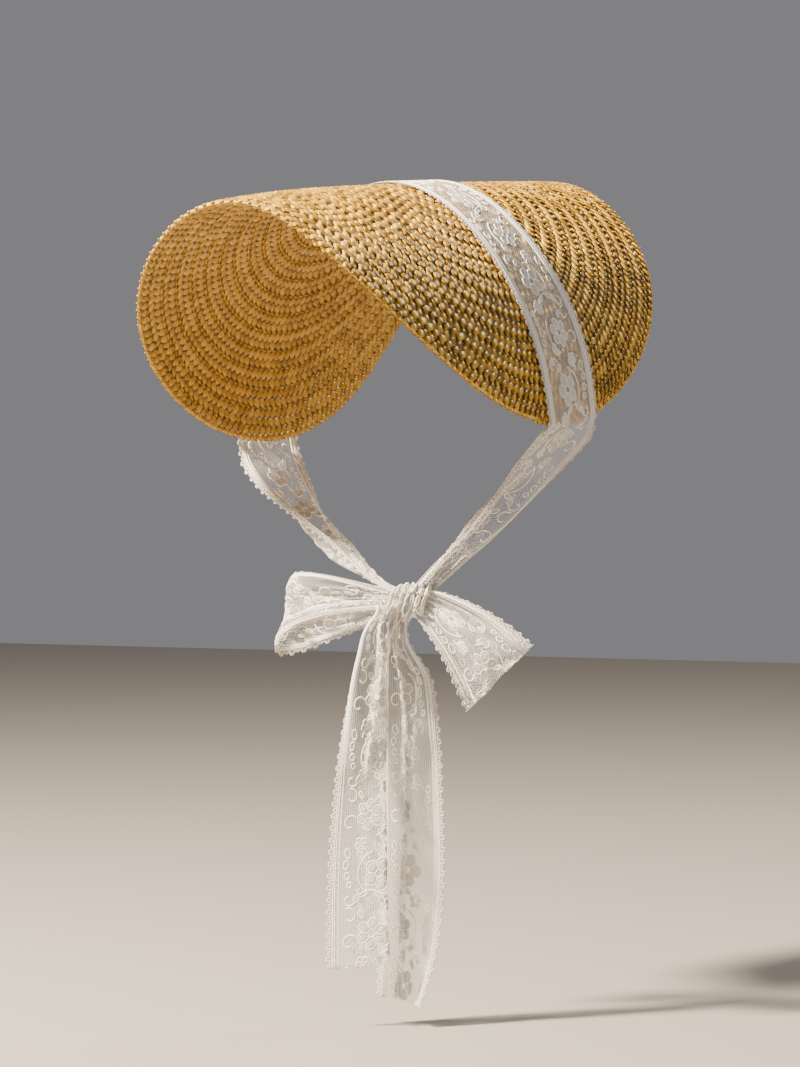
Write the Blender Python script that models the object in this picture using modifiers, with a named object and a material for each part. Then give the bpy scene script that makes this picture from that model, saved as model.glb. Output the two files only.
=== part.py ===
"""A flat round hat of spiral-sewn straw braid, bent down over both ears by a lace ribbon tied in a bow.

Metres, +Z up. The hat's front looks along -Y and the wearer's left is +X. The origin is on the
underside of the plate, at the top of the head. The bow is tied under the left side of the jaw, and
its loops and tails are called left and right as someone facing the wearer sees them.
"""

import math
from collections import namedtuple

import bmesh
import bpy
import numpy as np

# The plate, as it was sewn flat
PLATE_HALF_WIDTH = 0.205
PLATE_LENGTH_SHARE = 0.943  # front to back, against side to side
PLATE_SET_FORWARD = 0.003  # of its middle, from the top of the head
BRAID_WIDTH = 0.01245  # that each row shows
EDGE_ROW_SHARE = 0.75  # the outermost row shows less
PLATE_WALL = 0.0020  # in the grooves between rows
BRAID_RISE = 0.0010  # of a row's middle above its grooves
PLATE_SECTORS = 60
ARC_SAMPLES = 40

# How the worn plate turns down. A row for the front edge, the top of the head and the back edge:
# the angle at its side edges, how late the turn comes, and how much of it sits near the middle line
Bend = namedtuple("Bend", "edge_deg lateness ridge")
FRONT = Bend(edge_deg=78, lateness=1.80, ridge=0.59)
TOP = Bend(edge_deg=88, lateness=1.28, ridge=0.73)
BACK = Bend(edge_deg=108, lateness=0.86, ridge=0.93)
RIDGE_REACH = 0.35  # of the half width
RIGHT_FRONT_FLARE = Bend(edge_deg=16, lateness=-0.80, ridge=0)  # the right front corner stands out
TOP_LINE_DROP = (0.015, 0.032, 0.060)  # second, third and fourth power of the way to the edge
FRONT_DOWN_DEG = 4.8
LEFT_UP_DEG = 2.3

# The ribbon
RIBBON_WIDTH = 0.065
CLOTH = 0.0010
STRAP_CENTRE = -0.010  # forward of the top of the head
STRAP_SKEW = 0.06  # forward, for each metre down the sides
STRAP_LIFT = 0.0006  # above the rows' crests, to the underside
STRAP_PAST_EDGE = 0.0010  # before it turns down to the knot
STRAP_LAST_STRETCH = 0.03  # share of the half width that sets its way off the plate
GAP = 0.0003  # between the knot and what leaves it
STRAP_ACROSS = 10
STRAP_STATIONS = 34
STRAND_STATIONS = 9

# The knot, a wrap of gathered ribbon round an axis that runs to the wearer's left
KNOT = np.array((0.042, -0.058, -0.257))
KNOT_SIZE = np.array((0.0125, 0.0092, 0.0094))  # half width, depth and height
KNOT_TURN_DEG = 22  # about Z, towards the wearer's left
KNOT_LEAN = 0.30  # how far its top stands to the wearer's left, for its height
KNOT_FOLDS = 3
KNOT_FOLD_DEPTH = 0.07

# The strands between the plate's edge and the knot: where they meet the knot, as directions from
# its middle, the way they run there, the way their width runs from front to back, that width, and
# how far they keep their way at each end
Strand = namedtuple("Strand", "side meets runs across width leave arrive")
STRANDS = (
    Strand(side=1, meets=(0.95, 0.10, 0.78), runs=(-0.49, -0.47, -0.73), across=(0.16, 0.83, -0.53),
           width=0.012, leave=0.020, arrive=0.110),
    Strand(side=-1, meets=(-0.70, 0.55, 0.55), runs=(0.95, -0.15, -0.27), across=(0.10, 0.85, -0.50),
           width=0.015, leave=0.070, arrive=0.150),
)
GATHER_WAVES = 2
GATHER_DEPTH = 0.0022

# The bow's loops: the way each leaves the knot, the way its width runs, its reach, how far its
# middle is behind the knot's, how far its two layers stand apart, its half width at the knot and at
# the outer fold, how late it widens, and how high its middle line starts and arches
Loop = namedtuple("Loop", "name out across reach behind open_by waist flare late lift arch")
LOOPS = (
    Loop(name="bow_loop_right", out=(0.75, 0.21, -0.63), across=(0.62, 0.33, 0.71), reach=0.073, behind=0.0,
         open_by=0.0075, waist=0.0085, flare=0.0290, late=0.85, lift=0.0060, arch=0.0040),
    Loop(name="bow_loop_left", out=(-0.95, -0.22, -0.10), across=(-0.10, 0.50, 0.86), reach=0.082,
         behind=0.0040, open_by=0.0130, waist=0.0060, flare=0.0280, late=1.4, lift=0.0, arch=0.0005),
)
LOOP_START = 0.011  # from the knot's middle
LOOP_STATIONS = 20
LOOP_ACROSS = 8
LAYERS_APART = 0.0028  # where a loop's two layers meet the knot

# The tails. A row for each level: how far it is below the knot's middle, where the middle of the
# ribbon hangs to the wearer's left and to the front, its width as it hangs, and its folds' depth
Level = namedtuple("Level", "drop left front width fold")
TAIL_LEFT = (
    Level(0.0060, -0.0135, 0.0070, 0.0080, 0.0008),
    Level(0.0140, -0.0175, 0.0085, 0.0125, 0.0014),
    Level(0.0340, -0.0210, 0.0095, 0.0190, 0.0024),
    Level(0.0600, -0.0240, 0.0105, 0.0245, 0.0034),
    Level(0.1040, -0.0285, 0.0115, 0.0310, 0.0042),
    Level(0.1600, -0.0305, 0.0125, 0.0370, 0.0046),
    Level(0.2205, -0.0305, 0.0130, 0.0400, 0.0048),
)
TAIL_RIGHT = (
    Level(0.0110, -0.0060, -0.0040, 0.0070, 0.0006),
    Level(0.0250, -0.0085, -0.0055, 0.0150, 0.0014),
    Level(0.0450, -0.0035, -0.0065, 0.0320, 0.0026),
    Level(0.0650, -0.0020, -0.0070, 0.0385, 0.0034),
    Level(0.1190, -0.0005, -0.0070, 0.0430, 0.0044),
    Level(0.1800, -0.0005, -0.0065, 0.0430, 0.0050),
    Level(0.2200, -0.0035, -0.0060, 0.0380, 0.0056),
    Level(0.2440, -0.0075, -0.0055, 0.0310, 0.0062),
)
TAIL_TURN_DEG = 22  # the tails face this far towards the wearer's left
TAIL_STATIONS = 15
TAIL_CROWDING = 1.35  # its stations are closer together near the knot
TAIL_ACROSS = 12
TAIL_FOLD_WAVES = 1.5

# Each tail: its levels, which of its edges hangs plain, how its folds begin, and the end's slant
Tail = namedtuple("Tail", "name levels plain_side begin slant")
TAILS = (
    Tail(name="bow_tail_left", levels=TAIL_LEFT, plain_side=-1, begin=0.20, slant=-0.0025),
    Tail(name="bow_tail_right", levels=TAIL_RIGHT, plain_side=1, begin=-0.30, slant=0.0025),
)


def through(values, at):
    """A smooth value from its value at the front edge, the top and the back edge, at from 1 to -1."""
    front, top, back = values
    return top + (front - back) / 2 * at + ((front + back) / 2 - top) * at * at


def bent(forward, left):
    """Where a spot of the flat plate's middle layer lies when worn, before the origin is set."""
    at = np.clip(forward / PLATE_HALF_WIDTH, -1.2, 1.2)
    flare = np.where(left < 0, (at + at * at) / 2, 0.0)
    edge = through((FRONT.edge_deg, TOP.edge_deg, BACK.edge_deg), at) + flare * RIGHT_FRONT_FLARE.edge_deg
    late = through((FRONT.lateness, TOP.lateness, BACK.lateness), at) + flare * RIGHT_FRONT_FLARE.lateness
    ridge = through((FRONT.ridge, TOP.ridge, BACK.ridge), at)
    steps = (np.arange(ARC_SAMPLES) + 0.5) / ARC_SAMPLES
    way = np.clip(np.abs(left)[..., None] * steps / PLATE_HALF_WIDTH, 0, 1)
    turn = 1 - (1 - way) ** late[..., None]
    turn = turn * (1 + ridge[..., None] * np.exp(-((way / RIDGE_REACH) ** 2)))
    angle = np.radians(edge)[..., None] * turn
    second, third, fourth = TOP_LINE_DROP
    x = left * np.cos(angle).mean(-1)
    y = -forward
    z = -np.abs(left) * np.sin(angle).mean(-1)
    z = z - PLATE_HALF_WIDTH * (second * at**2 / 2 + third * at**3 / 3 + fourth * at**4 / 4)
    down, up = math.radians(FRONT_DOWN_DEG), math.radians(LEFT_UP_DEG)
    y, z = y * math.cos(down) - z * math.sin(down), y * math.sin(down) + z * math.cos(down)
    x, z = x * math.cos(up) - z * math.sin(up), x * math.sin(up) + z * math.cos(up)
    return np.stack([x, y, z], -1)


def raw_worn(forward, left, height):
    """A spot of the plate, height above its middle layer, before the origin is set."""
    forward, left, height = np.broadcast_arrays(*(np.asarray(v, float) for v in (forward, left, height)))
    step = 0.0005
    along = bent(forward - step, left) - bent(forward + step, left)
    across = bent(forward, left + step) - bent(forward, left - step)
    normal = np.cross(across, along)
    normal /= np.linalg.norm(normal, axis=-1, keepdims=True)
    return bent(forward, left) + normal * height[..., None]


def worn(forward, left, height):
    """As raw_worn, with the origin on the underside at the top of the head."""
    return raw_worn(forward, left, height) - raw_worn(0.0, 0.0, -PLATE_WALL / 2)


def turned(vector, degrees):
    """The vector turned about Z."""
    c, s = math.cos(math.radians(degrees)), math.sin(math.radians(degrees))
    x, y, z = vector
    return np.array((x * c - y * s, x * s + y * c, z))


def unit(vector):
    vector = np.asarray(vector, float)
    return vector / np.linalg.norm(vector, axis=-1, keepdims=True)


def material(name, colour, roughness):
    """A Principled material of one colour."""
    made = bpy.data.materials.new(name)
    made.use_nodes = True
    shader = made.node_tree.nodes["Principled BSDF"]
    shader.inputs["Base Color"].default_value = (*colour, 1)
    shader.inputs["Roughness"].default_value = roughness
    made.diffuse_color = (*colour, 1)
    return made


def add_object(name, mesh, finish, collection):
    made = bpy.data.objects.new(name, mesh)
    mesh.materials.append(finish)
    collection.objects.link(made)
    return made


def cloth(name, grid, finish, collection):
    """A sheet through the grid of points, with a wall of CLOTH."""
    stations, across = grid.shape[:2]
    bm = bmesh.new()
    bmesh.ops.create_grid(bm, x_segments=stations - 1, y_segments=across - 1, size=1)
    for vertex in bm.verts:
        i = round((vertex.co.x + 1) / 2 * (stations - 1))
        j = round((vertex.co.y + 1) / 2 * (across - 1))
        vertex.co = grid[i, j]
    mesh = bpy.data.meshes.new(name)
    bm.to_mesh(mesh)
    bm.free()
    mesh.shade_smooth()
    sheet = add_object(name, mesh, finish, collection)
    wall = sheet.modifiers.new("wall", "SOLIDIFY")
    wall.thickness = CLOTH
    wall.offset = 0
    return sheet


def row_edges():
    """Radii of the plate's edge and of the grooves between its rows, from the edge inwards."""
    first = PLATE_HALF_WIDTH - EDGE_ROW_SHARE * BRAID_WIDTH
    rows = int(first / BRAID_WIDTH)
    return [PLATE_HALF_WIDTH] + [first - n * BRAID_WIDTH for n in range(rows + 1)]


def plate_profile():
    """The flat plate's outline from its middle out over the rows, down the edge and back."""
    grooves = row_edges()[::-1]
    under, groove, crest = -PLATE_WALL / 2, PLATE_WALL / 2, PLATE_WALL / 2 + BRAID_RISE
    outline = [(0, crest)]
    for inner, outer in zip(grooves, grooves[1:]):
        outline += [(inner, groove), ((inner + outer) / 2, crest)]
    outline += [(PLATE_HALF_WIDTH, groove)]
    outline += [(radius, under) for radius in grooves[::-1]]
    return outline + [(0, under)]


def straw_plate(finish, collection):
    """The plate is turned flat, with its rows, and then bent as it is worn."""
    outline = plate_profile()
    flat = bpy.data.meshes.new("flat_plate")
    edges = [(n, n + 1) for n in range(len(outline) - 1)]
    flat.from_pydata([(radius, 0, height) for radius, height in outline], edges, [])
    turning = bpy.data.objects.new("flat_plate", flat)
    bpy.context.scene.collection.objects.link(turning)
    screw = turning.modifiers.new("turn", "SCREW")
    screw.steps = screw.render_steps = PLATE_SECTORS
    screw.use_merge_vertices = True
    screw.merge_threshold = 0.0001
    graph = bpy.context.evaluated_depsgraph_get()
    mesh = bpy.data.meshes.new_from_object(turning.evaluated_get(graph))
    bpy.data.objects.remove(turning)
    bpy.data.meshes.remove(flat)

    points = np.empty(len(mesh.vertices) * 3, np.float32)
    mesh.vertices.foreach_get("co", points)
    x, y, z = points.reshape(-1, 3).astype(float).T
    forward = PLATE_SET_FORWARD - y * PLATE_LENGTH_SHARE
    placed = worn(forward, x, z)
    mesh.vertices.foreach_set("co", placed.astype(np.float32).ravel())
    mesh.name = "straw_plate"
    mesh.update()
    mesh.shade_smooth()
    mesh.set_sharp_from_angle(angle=math.radians(50))
    return add_object("straw_plate", mesh, finish, collection)


def in_knot(vectors):
    """Vectors from the knot's middle, as shares of its size along its own axes."""
    c, s = math.cos(math.radians(KNOT_TURN_DEG)), math.sin(math.radians(KNOT_TURN_DEG))
    x, y, z = np.moveaxis(vectors, -1, 0)
    return np.stack([x * c + y * s - KNOT_LEAN * z, y * c - x * s, z], -1) / KNOT_SIZE


def off_knot(points, gap):
    """How far out points are, as shares of the way from the knot's middle to a gap off its surface."""
    shares = in_knot(points - KNOT)
    share = np.linalg.norm(shares, axis=-1)
    aside = shares[..., 0] / share
    fold = KNOT_FOLD_DEPTH * np.cos(math.pi * KNOT_FOLDS * aside) * (1 - aside**2)
    return share / (1 + np.maximum(fold, 0) + gap / KNOT_SIZE.min())


def clear_of_knot(points):
    """Points that would lie in the knot, moved straight out to just off its surface."""
    share = off_knot(points, GAP + CLOTH / 2)
    return KNOT + (points - KNOT) / np.minimum(share, 1)[..., None]


def seated(points, gap=GAP):
    """The points moved straight in or out to the knot's surface."""
    return KNOT + (points - KNOT) / off_knot(points, gap)[..., None]


def bow_knot(finish, collection):
    """A wrap of gathered ribbon, its folds as rings round the knot's axis."""
    bm = bmesh.new()
    bmesh.ops.create_uvsphere(bm, u_segments=14, v_segments=14, radius=1)
    for vertex in bm.verts:
        forward, up, aside = vertex.co
        fold = 1 + KNOT_FOLD_DEPTH * math.cos(math.pi * KNOT_FOLDS * aside)
        x, y, z = np.array((aside, forward * fold, up * fold)) * KNOT_SIZE
        vertex.co = KNOT + turned((x + KNOT_LEAN * z, y, z), KNOT_TURN_DEG)
    mesh = bpy.data.meshes.new("bow_knot")
    bm.to_mesh(mesh)
    bm.free()
    mesh.shade_smooth()
    return add_object("bow_knot", mesh, finish, collection)


def plate_edge_left(forward):
    """How far to the side the flat plate reaches at this distance forward."""
    share = (forward - PLATE_SET_FORWARD) / (PLATE_HALF_WIDTH * PLATE_LENGTH_SHARE)
    return PLATE_HALF_WIDTH * np.sqrt(1 - share**2)


def strap_line(share, across):
    """The part of the strap that lies on the plate. share runs from -1 at the right edge to 1."""
    share, across = np.broadcast_arrays(share, across)
    reach = PLATE_HALF_WIDTH
    forward = STRAP_CENTRE + STRAP_SKEW * np.abs(share) * reach + across * RIBBON_WIDTH / 2
    left = share * (plate_edge_left(forward) + STRAP_PAST_EDGE)
    return worn(forward, left, PLATE_WALL / 2 + BRAID_RISE + STRAP_LIFT + CLOTH / 2)


def strand_grid(strand, across):
    """The free strand from the plate's edge to the knot, gathered as it nears the knot."""
    edge = strap_line(float(strand.side), across)
    before = strap_line(strand.side * (1 - STRAP_LAST_STRETCH), across)
    leave = unit(edge - before) * strand.leave
    middle = seated(KNOT + unit(strand.meets) * KNOT_SIZE.min())
    end = middle - unit(strand.across) * (across * strand.width / 2)[:, None]
    arrive = unit(strand.runs) * strand.arrive
    way = np.linspace(0, 1, STRAND_STATIONS + 1)[1:, None, None]
    grid = (
        (2 * way**3 - 3 * way**2 + 1) * edge
        + (way**3 - 2 * way**2 + way) * leave
        + (3 * way**2 - 2 * way**3) * end
        + (way**3 - way**2) * arrive
    )
    fold = np.cross(unit(strand.across), unit(strand.runs))
    depth = GATHER_DEPTH * way[..., 0] ** 2 * np.sin(GATHER_WAVES * math.pi * across)
    grid = clear_of_knot(grid + depth[..., None] * fold)
    grid[-1] = seated(grid[-1])
    return grid


def lace_strap(finish, collection):
    """The ribbon from the knot up one side, over the plate and down the other side to the knot."""
    across = np.linspace(-1, 1, STRAP_ACROSS + 1)
    on_plate = strap_line(np.linspace(-1, 1, STRAP_STATIONS + 1)[:, None], across)
    left, right = (strand_grid(strand, across) for strand in STRANDS)
    return cloth("lace_strap", np.concatenate([right[::-1], on_plate, left]), finish, collection)


def bow_loop(loop, finish, collection):
    """A loop of ribbon: out from the knot, round its outer fold and back, gathered at the knot."""
    way = np.linspace(0, 1, LOOP_STATIONS + 1)[:, None]
    across = np.linspace(-1, 1, LOOP_ACROSS + 1)[None, :]
    out, width = unit(loop.out), unit(loop.across)
    facing = unit(np.cross(width, out))
    reach = np.sin(math.pi * way)
    length = LOOP_START + (loop.reach - LOOP_START) * reach + 0 * across
    half = loop.waist + (loop.flare - loop.waist) * reach**loop.late
    rise = half * across + loop.lift * (1 - reach) + loop.arch * np.sin(math.pi * reach)
    layer = LAYERS_APART / 2 * np.cos(math.pi * way) + loop.open_by * np.sin(2 * math.pi * way)
    gather = GATHER_DEPTH * (1 - reach) ** 2 * np.sin(GATHER_WAVES * math.pi * across)
    grid = (
        KNOT
        + length[..., None] * out
        + rise[..., None] * width
        + (layer + gather)[..., None] * facing
        + loop.behind * turned((0, 1, 0), KNOT_TURN_DEG)
    )
    grid = clear_of_knot(grid)
    grid[0], grid[-1] = seated(grid[0]), seated(grid[-1])
    return cloth(loop.name, grid, finish, collection)


def smooth_table(levels, drops):
    """The columns of a table of levels, read at these drops through smooth curves."""
    known = np.array(levels, float)
    slopes = np.gradient(known, known[:, 0], axis=0)
    found = np.clip(np.searchsorted(known[:, 0], drops) - 1, 0, len(known) - 2)
    low, high = known[found], known[found + 1]
    span = (high[:, 0] - low[:, 0])[:, None]
    t = (drops[:, None] - low[:, :1]) / span
    return (
        (2 * t**3 - 3 * t**2 + 1) * low
        + (t**3 - 2 * t**2 + t) * span * slopes[found]
        + (3 * t**2 - 2 * t**3) * high
        + (t**3 - t**2) * span * slopes[found + 1]
    )


def bow_tail(tail, finish, collection):
    """A free end that hangs from the knot, one edge plain and the other in soft upright folds."""
    top, end = tail.levels[0].drop, tail.levels[-1].drop
    drops = top + (end - top) * np.linspace(0, 1, TAIL_STATIONS + 1) ** TAIL_CROWDING
    table = smooth_table(tail.levels, drops)
    across = np.linspace(-1, 1, TAIL_ACROSS + 1)
    drop, left, front, width, fold = (column[:, None] for column in table.T)
    share = 1 - tail.plain_side * across / 2
    wave = fold * share * np.sin(TAIL_FOLD_WAVES * math.pi * (across + tail.begin))
    sideways = turned((1, 0, 0), TAIL_TURN_DEG)
    forwards = turned((0, -1, 0), TAIL_TURN_DEG)
    slant = tail.slant * (drop / end) ** 4 * across
    grid = (
        KNOT
        + (left + across * width / 2)[..., None] * sideways
        + (front + wave)[..., None] * forwards
        - (drop + slant)[..., None] * np.array((0, 0, 1))
    )
    grid = clear_of_knot(grid)
    grid[0] = seated(grid[0], GAP + CLOTH / 2)
    return cloth(tail.name, grid, finish, collection)


def main():
    for old in list(bpy.data.objects):
        bpy.data.objects.remove(old)
    collection = bpy.data.collections.new("flat_straw_hat")
    bpy.context.scene.collection.children.link(collection)
    straw = material("wheat_straw", (0.56, 0.35, 0.11), 0.45)
    lace = material("cotton_lace", (0.82, 0.80, 0.76), 0.85)
    straw_plate(straw, collection)
    lace_strap(lace, collection)
    bow_knot(lace, collection)
    for loop in LOOPS:
        bow_loop(loop, lace, collection)
    for tail in TAILS:
        bow_tail(tail, lace, collection)


main()
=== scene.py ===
"""The looks of a flat hat of straw braid sewn in a spiral, bent over both ears by a lace ribbon.

Metres, +Z up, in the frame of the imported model: the front looks along -Y, the wearer's left is +X
and the origin is the underside of the plate at its top. Straw and ribbon are both laid out flat
first, where their patterns are simple, and then taken to their worn shape by one function each.
"""

import math
from collections import namedtuple

import bmesh
import bpy
import numpy as np
from mathutils import Matrix, Vector


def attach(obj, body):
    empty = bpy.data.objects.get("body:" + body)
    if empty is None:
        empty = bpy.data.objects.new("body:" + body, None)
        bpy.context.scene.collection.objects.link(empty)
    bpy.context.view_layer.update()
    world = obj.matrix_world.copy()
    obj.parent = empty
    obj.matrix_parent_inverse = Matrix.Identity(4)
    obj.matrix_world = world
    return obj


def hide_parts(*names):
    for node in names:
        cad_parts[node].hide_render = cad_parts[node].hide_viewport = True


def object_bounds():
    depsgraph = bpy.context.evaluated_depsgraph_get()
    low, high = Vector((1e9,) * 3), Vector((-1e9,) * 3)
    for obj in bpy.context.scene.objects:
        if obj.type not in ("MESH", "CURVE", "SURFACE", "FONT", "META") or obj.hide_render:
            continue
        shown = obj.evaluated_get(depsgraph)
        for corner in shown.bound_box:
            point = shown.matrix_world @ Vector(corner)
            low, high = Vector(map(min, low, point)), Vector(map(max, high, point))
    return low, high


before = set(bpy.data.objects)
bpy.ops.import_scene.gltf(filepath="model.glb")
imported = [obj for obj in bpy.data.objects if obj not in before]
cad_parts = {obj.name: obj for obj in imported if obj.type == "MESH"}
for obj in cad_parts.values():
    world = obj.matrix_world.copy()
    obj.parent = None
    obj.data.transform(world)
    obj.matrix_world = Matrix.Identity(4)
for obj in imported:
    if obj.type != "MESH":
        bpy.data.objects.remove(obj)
CAD_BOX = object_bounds()
BODY = "root"
SEED = 7
MERGE = 1e-6

# The camera, fitted to the photograph: its place, what it looks at and its roll
IMAGE_HEIGHT = 1067
CAMERA_AZIMUTH_DEG = 31.653
CAMERA_ELEVATION_DEG = 0.828
CAMERA_ROLL_DEG = -0.233
CAMERA_DISTANCE = 2.2633
CAMERA_TARGET = Vector((-0.00008, 0.0, -0.21648))
FOCAL_PIXELS = 3604.7
SENSOR_HEIGHT = 36.0

# The plate, as it was sewn flat
PLATE_HALF_WIDTH = 0.205
PLATE_LENGTH_SHARE = 0.943
PLATE_SET_FORWARD = 0.003
BRAID_WIDTH = 0.01245
EDGE_ROW_SHARE = 0.75
PLATE_WALL = 0.0020
BRAID_RISE = 0.0010
ARC_SAMPLES = 24

# How the worn plate turns down, at the front edge, the top of the head and the back edge
Bend = namedtuple("Bend", "edge_deg lateness ridge")
FRONT = Bend(edge_deg=78, lateness=1.80, ridge=0.59)
TOP = Bend(edge_deg=88, lateness=1.28, ridge=0.73)
BACK = Bend(edge_deg=108, lateness=0.86, ridge=0.93)
RIDGE_REACH = 0.35
BENDS_UP_TO = 1.2
RIGHT_FRONT_FLARE = Bend(edge_deg=16, lateness=-0.80, ridge=0)
TOP_LINE_DROP = (0.015, 0.032, 0.060)
FRONT_DOWN_DEG = 4.8
LEFT_UP_DEG = 2.3

# The ribbon
RIBBON_WIDTH = 0.065
CLOTH = 0.0010
NET_WALL = 0.0001
STRAP_CENTRE = -0.010
STRAP_SKEW = 0.06
STRAP_LIFT = 0.0006
STRAP_PAST_EDGE = 0.0010
STRAP_LAST_STRETCH = 0.03

# The knot, a wrap of gathered ribbon round an axis that runs to the wearer's left
KNOT = np.array((0.042, -0.058, -0.257))
KNOT_SIZE = np.array((0.0125, 0.0092, 0.0094))
KNOT_TURN_DEG = 22
KNOT_LEAN = 0.30
KNOT_WRAPS = 1.12
KNOT_START_DEG = 108
KNOT_ROUNDING = 0.75
KNOT_OVERLAP = 0.10
KNOT_SWELL = 0.05

# The ribbon's gathers: how many waves lie across it near the knot and far from it, and how far the
# net's meshes close up by themselves, from 0 to 1
Gathers = namedtuple("Gathers", "near far give")
STRAND_GATHERS = Gathers(near=6, far=1.5, give=1.0)
KNOT_GATHERS = Gathers(near=7, far=5, give=0.2)
LOOP_GATHERS = Gathers(near=7, far=1.6, give=0.8)
TAIL_GATHERS = Gathers(near=2.6, far=1.0, give=0.6)

# Its lasting folds: where each lies across the ribbon, the angle it turns, over how much cloth, and
# how far its line wanders
Fold = namedtuple("Fold", "at turn_deg roundness wander")

# The free strands between the plate's edge and the knot. The left one's back part stands outwards
# a little and its front border is rolled over
Strand = namedtuple("Strand", "side meets runs across width leave arrive phase folds")
STRAND_LEFT = Strand(
    side=1, meets=(0.95, 0.10, 0.78), runs=(-0.49, -0.47, -0.73), across=(0.16, 0.83, -0.53),
    width=0.012, leave=0.020, arrive=0.110, phase=0.4, folds=(
        Fold(at=-0.0400, turn_deg=-20, roundness=0.004, wander=0.0),
        Fold(at=-0.0060, turn_deg=20, roundness=0.022, wander=0.0),
        Fold(at=0.0275, turn_deg=150, roundness=0.004, wander=0.0010),
    ),
)
STRAND_RIGHT = Strand(
    side=-1, meets=(-0.70, 0.55, 0.55), runs=(0.95, -0.15, -0.27), across=(0.10, 0.85, -0.50),
    width=0.015, leave=0.070, arrive=0.150, phase=2.0, folds=(
        Fold(at=0.0260, turn_deg=70, roundness=0.006, wander=0.0015),
    ),
)
STRAND_EASING = 0.2
STRAND_WAVES_FROM = 0.3
STRAND_WAVES_FINER_FROM = 0.5
STRAND_WAVES_OVER = 0.4

# The bow's loops: the ways out of the knot and across the cloth, how far a loop reaches and stands
# back, how far it opens, half its width at the knot and at its outer fold, how late it widens, and
# how it is raised at the knot and arched
Loop = namedtuple("Loop", "name out across reach behind open_by waist flare late lift arch phase")
LOOPS = (
    Loop(name="bow_loop_right", out=(0.75, 0.21, -0.63), across=(0.62, 0.33, 0.71), reach=0.073, behind=0.0,
         open_by=0.0075, waist=0.0085, flare=0.0290, late=0.85, lift=0.0060, arch=0.0040, phase=4.38),
    Loop(name="bow_loop_left", out=(-0.95, -0.22, -0.10), across=(-0.10, 0.50, 0.86), reach=0.082,
         behind=0.0040, open_by=0.0130, waist=0.0060, flare=0.0280, late=1.4, lift=0.0, arch=0.0005,
         phase=4.92),
)
LOOP_START = 0.004
LOOP_WAVES_FADE = 0.9
LAYERS_APART = 0.0028

# The tails, in levels down from the knot: each its middle's place left and forward of the knot, and
# how wide the folded ribbon is there. slant is how much lower one edge is cut, sink how far up into
# the knot the tail starts
Level = namedtuple("Level", "drop left front width")
Tail = namedtuple("Tail", "name phase slant sink levels folds")
TAILS = (
    Tail(name="bow_tail_left", phase=0.5, slant=-0.0025, sink=0.004, levels=(
        Level(0.0060, -0.0135, 0.0070, 0.0080), Level(0.0140, -0.0175, 0.0085, 0.0125),
        Level(0.0340, -0.0210, 0.0095, 0.0190), Level(0.0600, -0.0240, 0.0105, 0.0245),
        Level(0.1040, -0.0285, 0.0115, 0.0310), Level(0.1600, -0.0305, 0.0125, 0.0370),
        Level(0.2205, -0.0305, 0.0130, 0.0400),
    ), folds=(
        Fold(at=0.0085, turn_deg=-172, roundness=0.005, wander=0.001),
    )),
    Tail(name="bow_tail_right", phase=2.2, slant=0.0025, sink=0.006, levels=(
        Level(0.0110, -0.0060, -0.0040, 0.0070), Level(0.0250, -0.0085, -0.0055, 0.0150),
        Level(0.0450, -0.0035, -0.0065, 0.0320), Level(0.0650, -0.0020, -0.0070, 0.0385),
        Level(0.1190, -0.0005, -0.0070, 0.0430), Level(0.1800, -0.0005, -0.0065, 0.0430),
        Level(0.2200, -0.0035, -0.0060, 0.0380), Level(0.2440, -0.0075, -0.0055, 0.0310),
    ), folds=(
        Fold(at=-0.0300, turn_deg=24, roundness=0.004, wander=0.0),
        Fold(at=-0.0095, turn_deg=-190, roundness=0.003, wander=0.0010),
        Fold(at=-0.0030, turn_deg=174, roundness=0.003, wander=0.0010),
    )),
)
TAIL_TURN_DEG = 22
TAIL_FOLDED_AT_KNOT = 0.55
TAIL_FOLDS_OVER = 0.3
TAIL_WAVES_OVER = 0.45

# The straw plait, laid in lines along each row. A line's place is a share of the row's width outwards
# from its middle, its height is above the core, and its shift is a share of the pitch. tone runs from
# 0, shaded straw, to 1, bleached straw, and a face's tone_spread is what chance adds to it at most
Line = namedtuple("Line", "place lean_deg height length width shift tone")
Face = namedtuple("Face", "name side roll_deg tone_spread lines fold")
FACES = (
    # On the upper face each line's tone rises with its height: painted shade on the line lapped under the
    # fold and a painted highlight on the raised fold along the row's edge, over each piece's own random tone
    Face(name="upper", side=1, roll_deg=0, tone_spread=0.6, lines=(
        Line(place=-0.29, lean_deg=-36, height=0.0001, length=0.0088, width=0.0052, shift=0.0, tone=0.0),
        Line(place=0.10, lean_deg=36, height=0.0006, length=0.0094, width=0.0053, shift=0.5, tone=0.06),
    ), fold=Line(place=0.37, lean_deg=-48, height=0.0008, length=0.0054, width=0.0030, shift=0.25,
                 tone=0.10)),
    Face(name="under", side=-1, roll_deg=180, tone_spread=0.3, lines=(
        Line(place=-0.26, lean_deg=-44, height=0.0001, length=0.0086, width=0.0056, shift=0.0, tone=0.18),
        Line(place=0.12, lean_deg=42, height=0.0002, length=0.0086, width=0.0056, shift=0.5, tone=0.18),
    ), fold=Line(place=0.40, lean_deg=-12, height=0.0003, length=0.0062, width=0.0026, shift=0.25,
                 tone=0.08)),
)
STRAW_PITCH = 0.0062
ROW_TILT_DEG = 8  # the outer edge of each row laps over the next
LAP_DEG = 7  # each piece tips up along its length and laps over the next
UNEVEN_TURN = Vector((0.07, 0.06, 0.10))  # in radians
UNEVEN_SIZE = 0.07
NARROWEST_PIECE = 0.30

# One piece of the plait: its thickness, its straws as ribs, and how its outline draws in at the corners
STRAW_RISE = 0.0009
END_THICKNESS = 0.25
BLOCK_RIBS = 3
RIB_RISE = 0.00030
PIECE_STEPS = 3
SIDE_DRAW_IN = 0.10
END_DRAW_IN = 0.18

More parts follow.
